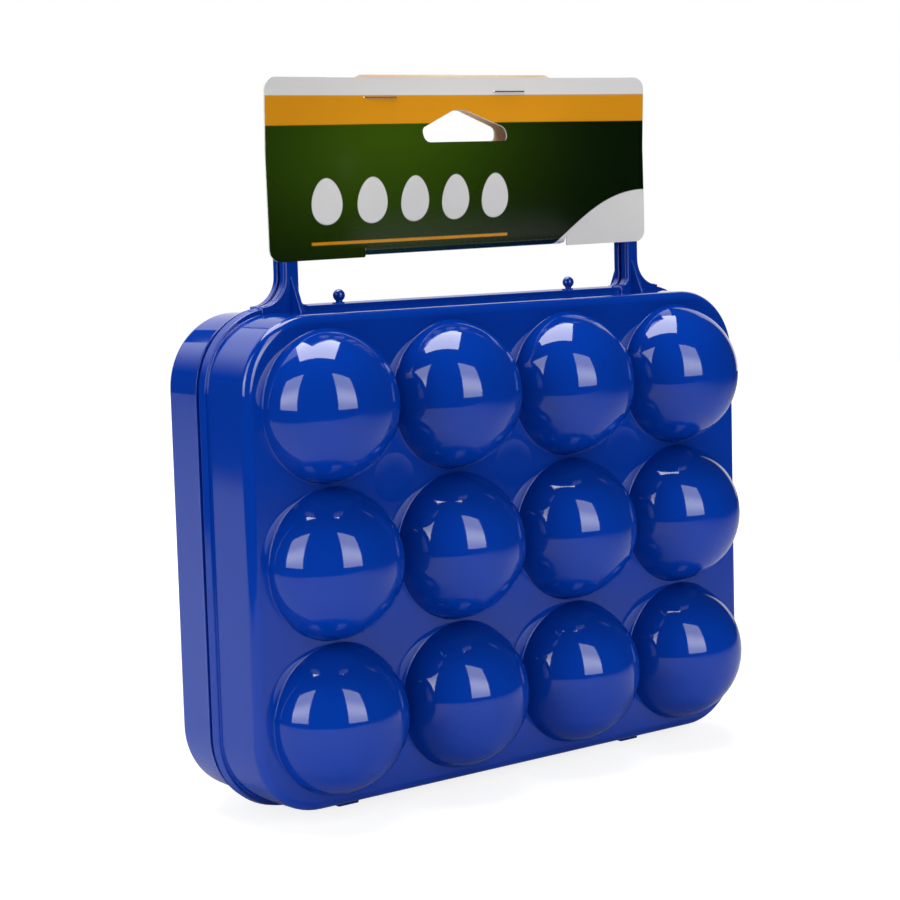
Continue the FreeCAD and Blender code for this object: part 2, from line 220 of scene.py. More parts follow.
class StageLook(bpy.types.PropertyGroup):
    """Floor, light and camera."""

    panel: strength("Panels", "Radiance of the two upright light panels", 6.5)
    overhead: strength("Overhead", "Radiance of the light box overhead", 9.4)
    bounce: strength("Bounce", "Radiance of the light thrown back by ceiling and left wall", 1.6)
    backdrop: strength("Backdrop", "Radiance of the white backdrop", 1.0)
    # Glow of the floor round the case, lower than the white beyond: painted shadow
    painted_shadow_glow: share("Floor glow", "Whiteness of the floor in the case's shadow", 0.83)
    floor_seen: share("Floor as seen", "Whiteness that light adds to the floor", 0.3)
    # The floor as mirrored in the case is a darker copy than the floor that lights it: painted shade in
    # the reflection
    floor_lit: share("Floor as mirrored", "Whiteness of the floor in the case's gloss", 0.39)
    floor_bounce: share("Floor bounce", "Whiteness of the floor as it lights the case", 1.0)
    lens: FloatProperty(name="Lens", description="Focal length on a 36 mm sensor, in millimetres",
                        default=87.08, min=1.0, subtype="DISTANCE_CAMERA")


# Meshes


class Skin:
    """Collects grids of points and flat polygons, and joins them into one mesh."""

    def __init__(self):
        self.points = []
        self.normals = []
        self.faces = []
        self.count = 0

    def grid(self, points, normals, wrap=False):
        """Quads over rows and columns of points. With wrap, the last column joins the first."""
        rows, columns = points.shape[:2]
        index = np.arange(rows * columns).reshape(rows, columns) + self.count
        if wrap:
            index = np.concatenate([index, index[:, :1]], axis=1)
        corners = (index[:-1, :-1], index[:-1, 1:], index[1:, 1:], index[1:, :-1])
        self.faces.extend(np.stack(corners, axis=-1).reshape(-1, 4).tolist())
        self._take(points.reshape(-1, 3), normals.reshape(-1, 3))

    def polygon(self, points, normal):
        """One flat face."""
        self.faces.append(list(range(self.count, self.count + len(points))))
        self._take(np.asarray(points, float), np.tile(normal, (len(points), 1)))

    def _take(self, points, normals):
        self.points.append(points)
        self.normals.append(normals)
        self.count += len(points)

    def build(self, name, material):
        """The object: equal points joined, collapsed faces dropped and every face turned outwards."""
        points = np.concatenate(self.points)
        normals = np.concatenate(self.normals)
        keys = np.round(points / JOIN).astype(np.int64)
        _, first, inverse = np.unique(keys, axis=0, return_index=True, return_inverse=True)
        inverse = inverse.reshape(-1)
        vertices = points[first]
        faces, corner_normals = [], []
        for face in self.faces:
            kept = [c for i, c in enumerate(face) if inverse[c] != inverse[face[i - 1]]]
            if len(kept) < 3:
                continue
            loop = points[kept]
            area = np.cross(loop, np.roll(loop, -1, axis=0)).sum(0)
            if area @ normals[kept].sum(0) < 0:
                kept.reverse()
            faces.append([int(inverse[c]) for c in kept])
            corner_normals.extend(normals[kept].tolist())
        mesh = bpy.data.meshes.new(name)
        mesh.from_pydata(vertices.tolist(), [], faces)
        mesh.materials.append(material)
        mesh.polygons.foreach_set("use_smooth", [True] * len(faces))
        mesh.normals_split_custom_set(corner_normals)
        mesh.update()
        return place(bpy.data.objects.new(name, mesh))


def place(item):
    """Links an object into the scene."""
    bpy.context.scene.collection.objects.link(item)
    return item


def finish_piece(item, body, nodes=()):
    """Ties a piece to its body and hides the parts that it stands for."""
    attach(item, body)
    if nodes:
        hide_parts(*nodes)


def unit(vectors):
    """Vectors drawn to unit length."""
    return vectors / np.maximum(np.linalg.norm(vectors, axis=-1, keepdims=True), 1e-12)


def turn(centre, radius, start, end, steps):
    """Points and normals of an arc in a section, from one angle to another in degrees."""
    angle = np.radians(np.linspace(start, end, steps + 1))
    across = np.stack([np.cos(angle), np.sin(angle)], axis=-1)
    return np.asarray(centre) + radius * across, across


# Half shells


def at_corner(column, row):
    """True for the four cells at the grid's outer corners."""
    return column in (0, COLUMNS - 1) and row in (0, ROWS - 1)


class HalfShape:
    """One half's outer skin over across, up and out, measured from the grid's centre."""

    def __init__(self, sizes, dished):
        self.sizes = sizes
        self.dished = dished
        self.flange = sizes.flange_width + sizes.draft + sizes.corner_radius
        self.core = np.array([flange_half_width, flange_half_height]) - self.flange
        columns = (np.arange(COLUMNS) - (COLUMNS - 1) / 2) * egg_pitch
        rows = ((ROWS - 1) / 2 - np.arange(ROWS)) * egg_pitch
        self.cells = {(c, r): np.array([columns[c], rows[r]])
                      for c in range(COLUMNS) for r in range(ROWS)}
        self.window = np.array([COLUMNS, ROWS]) * egg_pitch / 2
        self.window_core = self.window - sizes.corner_radius + WINDOW_TRIM
        self.window_radius = self.window[0] - self.window_core[0]
        self.dome_out = dome_front - sizes.cup_radius
        reach = sizes.cup_radius + sizes.cup_fillet
        self.foot = math.sqrt(reach ** 2 - (shell_depth - self.dome_out + sizes.cup_fillet) ** 2)
        self.dome_end = math.asin(self.foot / reach)

    def outside_core(self, points):
        """Distance of points in the face plane from the window's core, negative inside it."""
        beyond = np.abs(points) - self.window_core
        outer = np.linalg.norm(np.maximum(beyond, 0.0), axis=-1)
        return outer + np.minimum(beyond.max(axis=-1), 0.0)

    def in_window(self, points, middle):
        """Points of a corner cell drawn towards its middle until they lie in the rounded window."""
        low = np.zeros(len(points))
        high = np.ones(len(points))
        outside = self.outside_core(points) > self.window_radius + 1e-9
        for _ in range(50):
            half = (low + high) / 2
            drawn = middle + (points - middle) * half[:, None]
            inside = self.outside_core(drawn) < self.window_radius
            low = np.where(inside, half, low)
            high = np.where(inside, high, half)
        return np.where(outside[:, None], middle + (points - middle) * low[:, None], points)

    def cell_outline(self, column, row):
        """One cell's closed outline, trimmed by the round patches at the grid's inner corners."""
        middle = self.cells[(column, row)]
        half = egg_pitch / 2
        radius = self.sizes.patch_radius
        signs = ((1, 1), (-1, 1), (-1, -1), (1, -1))
        corners = [middle + half * np.array(s) for s in signs]
        inner = [0 <= column + s[0] < COLUMNS and 0 <= row - s[1] < ROWS for s in signs]
        outline = []
        for k in range(4):
            a, b, c = corners[k], corners[(k + 1) % 4], corners[(k + 2) % 4]
            along, onward = unit(b - a), unit(c - b)
            start = a + along * radius if inner[k] else a
            end = b - along * radius if inner[(k + 1) % 4] else b
            steps = int(round(np.linalg.norm(end - start) / EDGE_STEP))
            outline.append(start + (end - start) * (np.arange(steps) / steps)[:, None])
            if inner[(k + 1) % 4]:
                angle = (np.arange(PATCH_POINTS // 4) / PATCH_POINTS * 2 * math.pi)[:, None]
                outline.append(b + radius * (-along * np.cos(angle) + onward * np.sin(angle)))
        points = np.concatenate(outline)
        if at_corner(column, row):
            points = self.in_window(points, middle)
        return points

    def cell_patch(self, column, row):
        """Rings of points and normals from a dome's top over its foot to its cell's outline."""
        sizes = self.sizes
        middle = self.cells[(column, row)]
        outline = self.cell_outline(column, row) - middle
        reach = np.linalg.norm(outline, axis=-1)[:, None]
        ahead = outline / reach
        rings, normals = [], []

        def ring(far, out, angle):
            count = len(ahead)
            rings.append(np.column_stack([middle + ahead * far, np.full(count, out)]))
            normals.append(np.column_stack([ahead * math.sin(angle), np.full(count, math.cos(angle))]))

        for a in np.linspace(0, self.dome_end, 22):
            ring(sizes.cup_radius * math.sin(a), self.dome_out + sizes.cup_radius * math.cos(a), a)
        for a in np.linspace(self.dome_end, 0, 6)[1:]:
            ring(self.foot - sizes.cup_fillet * math.sin(a),
                 shell_depth + sizes.cup_fillet * (1 - math.cos(a)), a)
        for part in (0.3, 1.0):
            ring(self.foot + (reach - self.foot) * part, shell_depth, 0.0)
        rings[-1][:, :2] = middle + outline
        return np.array(rings), np.array(normals)

    def corner_patch(self, place_at):
        """Rings of points and normals round an inner corner of the grid, closest at a dish's edge."""
        sizes = self.sizes
        edge = sizes.dish_radius
        dished = self.dished and place_at[1] > 0
        reaches = [0, 1.2, 2.4, 3.6, 4.8, 5.8, 6.6, 7.2]
        reaches = [r * MM for r in reaches] + [edge, edge + 0.02 * MM, sizes.patch_radius]
        angle = np.arange(PATCH_POINTS) / PATCH_POINTS * 2 * math.pi
        ahead = np.stack([np.cos(angle), np.sin(angle)], axis=-1)
        rings, normals = [], []
        for far in reaches:
            part = far / edge
            inside = dished and part <= 1
            drop = sizes.dish_depth * (1 - part ** 4) if inside else 0.0
            rise = sizes.dish_depth * 4 * part ** 3 / edge if inside else 0.0
            level = np.full(PATCH_POINTS, shell_depth - drop)
            rings.append(np.column_stack([place_at + far * ahead, level]))
            normals.append(unit(np.column_stack([-rise * ahead, np.ones(PATCH_POINTS)])))
        return np.array(rings), np.array(normals)

    def rim(self):
        """Points round the window, in order, each with its place on the core and its way out."""
        corners = self.window * np.array([(1, 1), (-1, 1), (-1, -1), (1, -1)])
        points = []
        for a, b in zip(corners, np.roll(corners, -1, axis=0)):
            steps = int(round(np.linalg.norm(b - a) / EDGE_STEP))
            points.append(a + (b - a) * (np.arange(steps) / steps)[:, None])
        points = np.concatenate(points)
        for (column, row), middle in self.cells.items():
            if at_corner(column, row):
                own = (np.abs(points - middle) <= egg_pitch / 2 + 1e-9).all(axis=-1)
                points[own] = self.in_window(points[own], middle)
        core = np.clip(points, -self.core, self.core)
        return points, core, unit(points - core)


def half_shell(name, sizes, side, dished, body, nodes, material):
    """One half shell as a closed moulding: domed face, walls, flange, parting face and inside."""
    shape = HalfShape(sizes, dished)
    skin = Skin()

    def world(points):
        return np.stack([points[..., 0], side * points[..., 2], points[..., 1] + centre_z], axis=-1)

    def direction(vectors):
        return np.stack([vectors[..., 0], side * vectors[..., 2], vectors[..., 1]], axis=-1)

    def both_sides(outer, normal):
        skin.grid(world(outer), direction(normal), True)
        skin.grid(world(outer - normal * sizes.wall), direction(-normal), True)

    for column, row in shape.cells:
        both_sides(*shape.cell_patch(column, row))
    for column in range(1, COLUMNS):
        for row in range(1, ROWS):
            corner = np.array([column - COLUMNS / 2, ROWS / 2 - row]) * egg_pitch
            both_sides(*shape.corner_patch(corner))

    # The border is one closed section per column, with or without the flange. A section runs over
    # the distance from the core and the height t above the parting plane.
    points, core, away = shape.rim()
    rounding = sizes.edge_rounding
    thickness = sizes.flange_thickness
    fillet = sizes.root_fillet
    seam = sizes.parting_rounding
    edge = sizes.flange_rounding
    flange = shape.flange
    tilt = math.atan2(sizes.flange_lean, thickness)

    def edge_at(t):
        return flange - t * math.tan(tilt)

    tilted = math.degrees(tilt)
    shift = (1 - math.sin(tilt)) / math.cos(tilt)
    lip = turn((edge_at(thickness) - edge * shift, thickness - edge), edge, 90, tilted, 4)
    if side == FRONT:
        ends = [turn((edge_at(0) - seam, seam), seam, tilted, -90, 4)]
    else:
        step = sizes.rebate_depth
        floor = edge_at(0) - sizes.rebate_width
        ends = [turn((edge_at(step) - seam, step + seam), seam, tilted, -90, 4)]
        ends.append((np.array([(floor, step)] * 2), np.array([(0.0, -1.0), (1.0, 0.0)])))
        ends.append(turn((floor - seam, seam), seam, 0, -90, 4))

    def section_of(begin, draft, flanged):
        """Points and normals all the way round the section of a wall with a draft."""
        slope = math.atan2(draft, shell_depth - thickness)
        lean = np.array([math.cos(slope), math.sin(slope)])

        def wall_at(t):
            return sizes.corner_radius + draft - (t - thickness) * math.tan(slope)

        level = shell_depth - rounding
        flat_end = wall_at(level + rounding * lean[1]) - rounding * lean[0]
        flat = np.array([(begin, shell_depth), ((begin + flat_end) / 2, shell_depth)])
        arc, arc_normal = turn((flat_end, level), rounding, 90, math.degrees(slope), 8)
        low = thickness + fillet * (1 - lean[1])
        wall_t = np.linspace(arc[-1, 1], low, 6)[1:]
        outer = np.concatenate([flat, arc, np.stack([wall_at(wall_t), wall_t], axis=-1)])
        facing = np.concatenate([[(0.0, 1.0)] * 2, arc_normal, np.tile(lean, (len(wall_t), 1))])
        inmost = turn((wall_at(low) - sizes.wall + seam, seam), seam, -90, -180, 4)
        root = thickness + fillet
        hollow, hollow_normal = turn((wall_at(root) + fillet / lean[0], root), fillet,
                                     180 + math.degrees(slope), 270, 4)
        ring = [(hollow, -hollow_normal), lip, *ends]
        if not flanged:
            # A plain wall has its points level with the flange's, so that the two can be joined
            foot = turn((wall_at(seam) - seam, seam), seam, 0, -90, 4)
            plain_t = np.concatenate([part[0][:, 1] for part in ring])[:-len(foot[0])]
            plain = np.stack([wall_at(plain_t), plain_t], axis=-1)
            ring = [(plain, np.tile(lean, (len(plain), 1))), foot]
        parts = [(outer, facing), *ring, inmost, ((outer - facing * sizes.wall)[::-1], -facing[::-1])]
        return np.concatenate([p[0] for p in parts]), np.concatenate([p[1] for p in parts])

    count = len(points)

    def has_flange(index):
        middle = (core[index] + core[(index + 1) % count]) / 2
        if away[index][1] < -0.99 and abs(middle[0]) < sizes.hinge_half:
            return False
        at_notch = side == REAR and away[index][1] > 0.99
        return not (at_notch and abs(abs(middle[0]) - stud_x) < sizes.notch_half)

    def column_of(index, flanged):
        """One column's points and normals. The top and bottom walls have their own draft."""
        draft = sizes.draft + (sizes.end_draft - sizes.draft) * away[index][1] ** 2
        section, facing = section_of(np.linalg.norm(points[index] - core[index]), draft, flanged)
        spots = np.column_stack([core[index] + away[index] * section[:, :1], section[:, 1]])
        return spots, np.column_stack([away[index] * facing[:, :1], facing[:, 1]])

    runs = [[]]
    for index in range(count):
        before, after = has_flange(index - 1), has_flange(index)
        runs[-1].append((index, before))
        if before != after:
            runs.append([(index, after)])
    runs[-1].append((0, has_flange(count - 1)))
    for run in runs:
        columns = [column_of(index, flanged) for index, flanged in run]
        skin.grid(world(np.stack([c[0] for c in columns], axis=1)),
                  direction(np.stack([c[1] for c in columns], axis=1)))
    for run in runs[:-1]:
        index, flanged = run[-1]
        step_face = np.stack([column_of(index, given)[0] for given in (flanged, not flanged)], axis=1)
        along = unit(points[(index + 1) % count] - points[index - 1])
        facing = np.array([*(along if flanged else -along), 0.0])
        skin.grid(world(step_face), direction(np.tile(facing, (*step_face.shape[:2], 1))))
    finish_piece(skin.build(name, material), body, nodes)


# Plates with rounded edges


def loft(skin, outline, section, axes):
    """A plate with rounded edges: rings of an outline drawn in along a section, capped flat.

    The section gives (inset, height, normal outwards, normal upwards) for each ring, and axes turns
    outline coordinates and height into the case's own coordinates."""
    outline = np.asarray(outline, float)
    before, after = np.roll(outline, 1, axis=0), np.roll(outline, -1, axis=0)
    tangent = unit(unit(after - outline) + unit(outline - before))
    outward = np.stack([tangent[:, 1], -tangent[:, 0]], axis=-1)
    rings, normals = [], []
    for inset, height, out, up in section:
        flat = outline - outward * inset
        rings.append(axes(np.column_stack([flat, np.full(len(flat), height)])))
        normals.append(axes(np.column_stack([outward * out, np.full(len(flat), up)]), False))
    skin.grid(np.array(rings), np.array(normals), True)
    up = axes(np.array([[0.0, 0.0, 1.0]]), False)[0]
    skin.polygon(rings[0], -up)
    skin.polygon(rings[-1], up)


def rounded_section(low, high, rounding, round_low=True):
    """Rings of a plate between two heights, with its upper edge or both edges rounded."""
    quarter = [(math.cos(a), math.sin(a)) for a in np.radians(np.linspace(0, 90, 4))]
    upper = [(rounding * (1 - cos), high - rounding * (1 - sin), cos, sin) for cos, sin in quarter]
    if not round_low:
        return [(0.0, low, 1.0, 0.0)] + upper
    lower = [(rounding * (1 - cos), low + rounding * (1 - sin), cos, -sin) for cos, sin in quarter]
    return lower[::-1] + upper


def upright(side):
    """Axes of a plate drawn in X and Z whose height runs out from the parting plane."""
    def turned(points, moved=True):
        return np.stack([points[:, 0], side * points[:, 2], points[:, 1]], axis=-1)
    return turned


def sideways(side, x):
    """Axes of a plate drawn in out and Z whose height runs along X, starting at an X."""
    def turned(points, moved=True):
        shift = x if moved else 0.0
        return np.stack([points[:, 2] + shift, side * points[:, 0], points[:, 1]], axis=-1)
    return turned


def lying(side):
    """Axes of a block drawn in X and out whose height runs up."""
    def turned(points, moved=True):
        return np.stack([points[:, 0], side * points[:, 1], points[:, 2]], axis=-1)
    return turned


def bend(centre, radius, start, end, steps=10):
    """Points of an arc in an outline, ends included."""
    return turn(centre, radius, start, end, steps)[0].tolist()


def mirrored(right):
    """The left side of an outline that goes on from its right side."""
    return [[-x, z] for x, z in reversed(right)]


def bow_outline(sizes, inset, base):
    """The handle's outline seen from the front, drawn in by an inset, down to a base height."""
    outer = sizes.leg_outer - inset
    inner = sizes.leg_outer - sizes.leg_width + inset
    top = handle_top - inset
    grip_low = handle_top - sizes.grip_height + inset
    corner = sizes.grip_corner - inset
    hollow = sizes.grip_corner - sizes.leg_width + inset
    spread, tuck = sizes.outer_fillet + inset, sizes.inner_fillet + inset
    right = [[outer + spread, base]]
    right += bend((outer + spread, flange_top + spread - inset), spread, 270, 180)
    right += bend((outer - corner, top - corner), corner, 0, 90)
    inside = bend((inner - hollow, grip_low - hollow), hollow, 90, 0)
    inside += bend((inner - tuck, flange_top + tuck - inset), tuck, 0, -90)
    inside += [[inner - tuck, base]]
    return np.array(right + mirrored(right) + mirrored(inside) + inside)


def grip_outline(sizes, inset):
    """The grip bar's own outline seen from the front, drawn in by an inset."""
    outer = sizes.leg_outer - inset
    top = handle_top - inset
    low = handle_top - sizes.grip_height + inset
    corner = sizes.grip_corner - inset
    soft = 0.8 * MM
    start = math.asin((low + soft - top + corner) / corner)
    edge = outer - corner + corner * math.cos(start)
    right = bend((edge - soft, low + soft), soft, 270, 360, 4)[:-1]
    right += bend((outer - corner, top - corner), corner, math.degrees(start), 90)
    return np.array(right + mirrored(right))


def handle_half(name, sizes, shell, side, body, node, material):
    """One half of the handle: a flat bow, a rib or a thicker grip on it, and two gussets."""
    skin = Skin()
    axes = upright(side)
    face = shell.flange_thickness
    wall_top = flange_top - shell.flange_width - shell.draft + shell.end_draft
    plate_base, plate_face = flange_top - 1.5 * MM, face - 0.02 * MM
    rib_base, raised_root = wall_top - 0.6 * MM, face - 0.2 * MM
    loft(skin, bow_outline(sizes, 0.0, plate_base),
         rounded_section(sizes.half_gap, plate_face, sizes.rounding), axes)
    if side == FRONT:
        leg_face = face + sizes.rib_depth
        raised, raised_face = bow_outline(sizes, sizes.rib_inset, rib_base), leg_face
    else:
        leg_face = face
        raised, raised_face = grip_outline(sizes, sizes.rib_inset), face + sizes.grip_depth
    loft(skin, raised, rounded_section(raised_root, raised_face, sizes.rounding, round_low=False), axes)
    edge = 0.3 * MM
    start, tip = leg_face - 0.3 * MM, leg_face + sizes.gusset_reach
    low, tip_top = wall_top - 0.8 * MM, wall_top + 0.3 * MM
    web = rounded_loop([[start, low], [tip, low], [tip, tip_top], [start, wall_top + sizes.gusset_rise]],
                       edge, 4)
    half = sizes.gusset_thickness / 2
    middle = sizes.leg_outer - sizes.leg_width / 2
    for place_x in (-middle, middle):
        loft(skin, web, rounded_section(-half, half, edge), sideways(side, place_x))
    finish_piece(skin.build(name, material), body, [node])


def standing_pads(name, sizes, shell, side, body, place_x, material):
    """Two pads under a half shell's bottom wall that bring it down to the floor."""
    skin = Skin()
    near = shell.flange_thickness + sizes.pad_gap
    far = near + sizes.pad_length
    half = sizes.pad_width / 2
    top = centre_z - flange_half_height + shell.flange_width + shell.draft + shell.wall / 2
    corner, rounding = 0.6 * MM, 0.4 * MM
    for x in (-place_x, place_x):
        outline = [[x - half, near], [x + half, near], [x + half, far], [x - half, far]]
        loft(skin, rounded_loop(outline, corner), rounded_section(0.0, top, rounding), lying(side))
    finish_piece(skin.build(name, material), body)


def rib_axes(side, middle, stands):
    """Axes of a rib through a cup's middle that lies across or stands up."""
    def turned(points, moved=True):
        x, z = (points[:, 2], points[:, 0]) if stands else (points[:, 0], points[:, 2])
        if moved:
            x, z = x + middle[0], z + (middle[1] + centre_z)
        return np.stack([x, side * points[:, 1], z], axis=-1)
    return turned


def egg_ribs(name, shell, side, body, material):
    """Crossed ribs in every cup, shaped to an egg's end."""
    skin = Skin()
    shape = HalfShape(shell, False)
    room = shell.cup_radius - shell.wall / 2
    egg_start = math.acos((shell_depth - shell.egg_centre) / shell.egg_radius)
    room_start = math.acos((shell_depth - shape.dome_out) / room)
    egg_arc = [(shell.egg_radius * math.sin(a), shell.egg_centre + shell.egg_radius * math.cos(a))
               for a in np.linspace(-egg_start, egg_start, 25)]
    room_arc = [(room * math.sin(a), shape.dome_out + room * math.cos(a))
                for a in np.linspace(room_start, -room_start, 25)]
    outline = np.array(egg_arc + room_arc)
    half, edge = shell.rib / 2, 0.2 * MM
    section = rounded_section(-half, half, edge)
    for middle in shape.cells.values():
        for stands in (False, True):
            loft(skin, outline, section, rib_axes(side, middle, stands))
    finish_piece(skin.build(name, material), body)


# Header card


class CardShape:
    """The folded card: where a point of the flat sheet lies once the card hangs on the handle.

    The sheet's second coordinate is the height on the leaf. Below the fold line it runs on round
    the fold and up the tongue."""

    def __init__(self, sizes):
        self.sizes = sizes
        self.low = flange_top + sizes.bottom
        self.top = flange_top + sizes.top
        self.radius = sizes.front / 2
        self.fold_z = self.low + sizes.fold_lift + self.radius + sizes.thickness / 2
        self.arc_length = math.pi * self.radius
        self.end = self.tongue_s(self.top + sizes.tongue_rise)
        self.half_tongue = sizes.tongue_half - 0.3 * MM
        self.slit = sizes.tongue_half + 0.1 * MM

    def leaf_y(self, x, z):
        """Where the leaf lies before or behind the parting plane."""
        sizes = self.sizes
        drop = sizes.front + sizes.flare - sizes.pinch
        radius = (sizes.half_width ** 2 + drop ** 2) / (2 * drop)
        top_y = -sizes.pinch - radius + np.sqrt(radius ** 2 - x ** 2)
        bend_z = flange_top + sizes.bend
        up = (z - bend_z) / (self.top - bend_z)
        soft = 0.12
        up = np.where(up > soft, up - soft / 2, np.maximum(up, 0) ** 2 / (2 * soft)) / (1 - soft / 2)
        peak = flange_top + sizes.bulge_rise
        below = 1 - ((peak - z) / (peak - self.fold_z)) ** 2
        above = np.cos(np.clip((z - peak) / (self.top - peak), 0, 1) * math.pi / 2) ** 2
        swell_half = 50 * MM
        swell = np.where(z < peak, np.maximum(below, 0), above) / (1 + (x / swell_half) ** 8)
        return -sizes.front + up * (top_y + sizes.front) - sizes.bulge * swell

    def bent(self, flat):
        """Where points of the flat sheet lie on the hanging card."""
        sizes = self.sizes
        x, s = flat[:, 0], flat[:, 1]
        strip = (np.abs(x) < sizes.tongue_half) & (s < self.fold_z)
        down = np.clip((self.fold_z - s) / self.radius, 0, math.pi)
        fold_y = -self.radius - self.radius * np.cos(down)
        rest = np.maximum(self.fold_z - s - self.arc_length, 0)
        fold_z = self.fold_z - self.radius * np.sin(down) + rest
        y = np.where(strip, fold_y, self.leaf_y(x, s))
        z = np.where(strip, fold_z, s)
        middle = (self.low + self.top) / 2
        cos, sin = math.cos(sizes.turn), math.sin(sizes.turn)
        across = x * cos - (z - middle) * sin - sizes.shift
        return np.column_stack([across, y, middle + x * sin + (z - middle) * cos])

    def normal(self, flat):
        """Outward normals of the sheet."""
        step = 0.02 * MM
        across = self.bent(flat + [step, 0]) - self.bent(flat - [step, 0])
        up = self.bent(flat + [0, step]) - self.bent(flat - [0, step])
        return unit(np.cross(across, up))

    def tongue_s(self, z):
        """Place along the sheet of a height on the tongue."""
        return self.fold_z - self.arc_length - (z - self.fold_z)

    def loops(self):
        """The flat sheet's outline and its two hang holes, as closed loops."""
        sizes = self.sizes
        wide, slit, tongue = sizes.half_width, self.slit, self.half_tongue
        low, top, fold, end = self.low, self.top, self.fold_z, self.end
        corners = [(slit, low), (wide, low), (wide, top), (-wide, top), (-wide, low), (-slit, low),
                   (-slit, fold), (-tongue, fold), (-tongue, end), (tongue, end), (tongue, fold),
                   (slit, fold)]
        r, nick = sizes.corner, 0.6 * MM
        radii = [nick, r, r, r, r, nick, 0, 0, r, r, 0, 0]
        side, tip = sizes.hole_half, sizes.hole_round
        hole_low, hole_high = flange_top + sizes.hole_low, flange_top + sizes.hole_high
        shoulder = hole_low + sizes.hole_side
        hole = rounded_loop([(-side, hole_low), (side, hole_low), (side, shoulder), (tip, hole_high),
                             (-tip, hole_high), (-side, shoulder)], sizes.hole_round)
        hole[:, 0] -= sizes.hole_shift
        behind = np.column_stack([hole[:, 0], self.tongue_s(hole[:, 1])])
        edge_step, hole_step = 2.0 * MM, 1.2 * MM
        return [fine_loop(rounded_loop(corners, radii), edge_step),
                fine_loop(hole, hole_step), fine_loop(behind, hole_step)]

    def fill(self, loops):
        """Points inside the flat sheet, in rows that lie closest round the fold."""
        wide = self.sizes.half_width
        step = 2.5 * MM
        arc_end = self.fold_z - self.arc_length
        rows = np.concatenate([np.arange(self.end, arc_end, step),
                               np.linspace(arc_end, self.fold_z, 16),
                               np.arange(self.fold_z + 1.5 * MM, self.top, 2.0 * MM)])
        points = []
        for s in rows:
            in_strip = s < self.fold_z - 0.1 * MM
            half = self.half_tongue if in_strip else wide
            points += [(x, s) for x in np.arange(-half + 2 * MM, half - 1 * MM, step)]
            if in_strip and s > self.low + 0.5 * MM:
                beside = np.arange(self.slit + 1.5 * MM, wide - 1 * MM, step)
                points += [(x, s) for x in beside] + [(-x, s) for x in beside]
        return [p for p in points if clear_of(np.array(p), loops)]


def rounded_loop(corners, radius, steps=6):
    """A closed loop of points with each corner rounded."""
    corners = np.asarray(corners, float)
    loop = []
    for k in range(len(corners)):
        before, corner, after = corners[k - 1], corners[k], corners[(k + 1) % len(corners)]
        back, on = unit(before - corner), unit(after - corner)
        half = math.acos(max(-1.0, min(1.0, float(back @ on)))) / 2
        own = radius[k] if hasattr(radius, "__len__") else radius
        if own <= 0:
            loop.append(corner)
            continue
        cut = own / math.tan(half)
        centre = corner + unit(back + on) * own / math.sin(half)
        a, b = corner + back * cut - centre, corner + on * cut - centre
        sweep = math.pi - 2 * half
        for t in np.linspace(0, 1, steps + 1):
            reach = a * math.sin((1 - t) * sweep) + b * math.sin(t * sweep)
            loop.append(centre + reach / math.sin(sweep))
    return np.array(loop)


def fine_loop(loop, step):
    """A closed loop with points added so that none are farther apart than a step."""
    points = []
    for a, b in zip(loop, np.roll(loop, -1, axis=0)):
        count = max(1, int(math.ceil(np.linalg.norm(b - a) / step)))
        points += [a + (b - a) * k / count for k in range(count)]
    return np.array(points)


def header_card(sizes, materials, body):
    """The folded card with its hang hole, printed outside and plain inside."""
    shape = CardShape(sizes)
    loops = shape.loops()
    points = [Vector(p) for loop in loops for p in loop]
    edges, first = [], 0
    for loop in loops:
        edges += [(first + k, first + (k + 1) % len(loop)) for k in range(len(loop))]
        first += len(loop)
    points += [Vector(p) for p in shape.fill(loops)]
    flat, _, triangles, _, _, _ = delaunay_2d_cdt(points, edges, [], 0, 1e-7)
    flat = np.array([[p.x, p.y] for p in flat])
    kept = [list(t) for t in triangles if within(flat[list(t)].mean(axis=0), loops)]
    spots, normals = shape.bent(flat), shape.normal(flat)
    half = sizes.thickness / 2
    outer, inner = spots + normals * half, spots - normals * half
    count = len(flat)
    printed, plain, cut = 0, 1, 2
    faces, kinds, corner_normals, corner_flat = [], [], [], []
    rim = {}
    for triangle in kept:
        a, b, c = spots[triangle]
        if np.cross(b - a, c - a) @ normals[triangle[0]] < 0:
            triangle.reverse()
        faces += [triangle, [count + k for k in reversed(triangle)]]
        kinds += [printed, plain]
        corner_normals += [normals[k].tolist() for k in triangle]
        corner_normals += [(-normals[k]).tolist() for k in reversed(triangle)]
        corner_flat += [flat[k] for k in triangle] + [flat[k] for k in reversed(triangle)]
        for k in range(3):
            pair = (triangle[k], triangle[(k + 1) % 3])
            if rim.pop((pair[1], pair[0]), None) is None:
                rim[pair] = True
    for a, b in rim:
        faces.append([b, a, count + a, count + b])
        kinds.append(cut)
        out = np.cross(unit(spots[b] - spots[a]), normals[a])
        corner_normals += [out.tolist()] * 4
        corner_flat += [flat[b], flat[a], flat[a], flat[b]]
    mesh = bpy.data.meshes.new("folded_card")
    mesh.from_pydata(np.concatenate([outer, inner]).tolist(), [], faces)
    for material in materials:
        mesh.materials.append(material)
    mesh.polygons.foreach_set("material_index", kinds)
    mesh.polygons.foreach_set("use_smooth", [True] * len(faces))
    sheet = mesh.uv_layers.new(name="print_sheet")
    placed = (np.array(corner_flat) - [-sizes.half_width, shape.end]) / (2 * sizes.half_width)
    sheet.data.foreach_set("uv", placed.astype(np.float32).ravel())
    mesh.normals_split_custom_set(corner_normals)
    mesh.update()
    card = place(bpy.data.objects.new("folded_card", mesh))
    finish_piece(card, body, ["header_card"])


def clear_of(point, loops):
    """True if a point lies in the sheet and not too close to its edges."""
    if not within(point, loops):
        return False
    nearest = 0.9 * MM
    return all(np.min(np.linalg.norm(loop - point, axis=-1)) > nearest for loop in loops)


